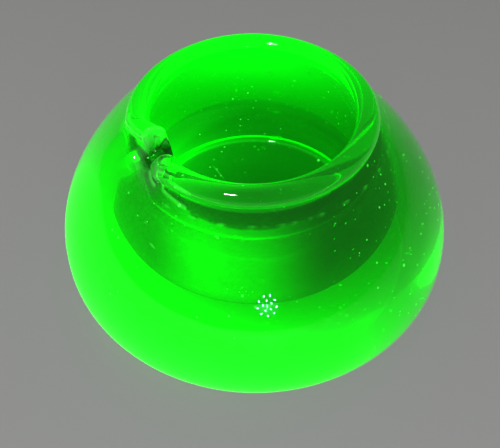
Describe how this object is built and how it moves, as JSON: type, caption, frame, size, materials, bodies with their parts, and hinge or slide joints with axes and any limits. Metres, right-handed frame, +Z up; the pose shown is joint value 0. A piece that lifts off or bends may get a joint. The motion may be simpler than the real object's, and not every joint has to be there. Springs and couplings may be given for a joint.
{
  "type": "glass dish",
  "caption": "Heavy domed glass dish with a round flat-floored well, a rounded lip and a rest groove pressed through the lip.",
  "frame": {"origin": "middle of the flat base, on the surface that the dish stands on", "axes": "+Z up along the axis of the well, -X towards the rest groove in the lip"},
  "size_m": [0.12, 0.12, 0.054],
  "materials": {
    "cup_glass": "fire-polished, clear yellow-green glass that glows green under ultraviolet light",
    "casing_glass": "fire-polished, clear yellow-green glass that glows green under ultraviolet light; ground and polished base"
  },
  "bodies": {
    "root": {"inner_cup": "cup_glass", "outer_casing": "casing_glass"}
  },
  "joints": []
}
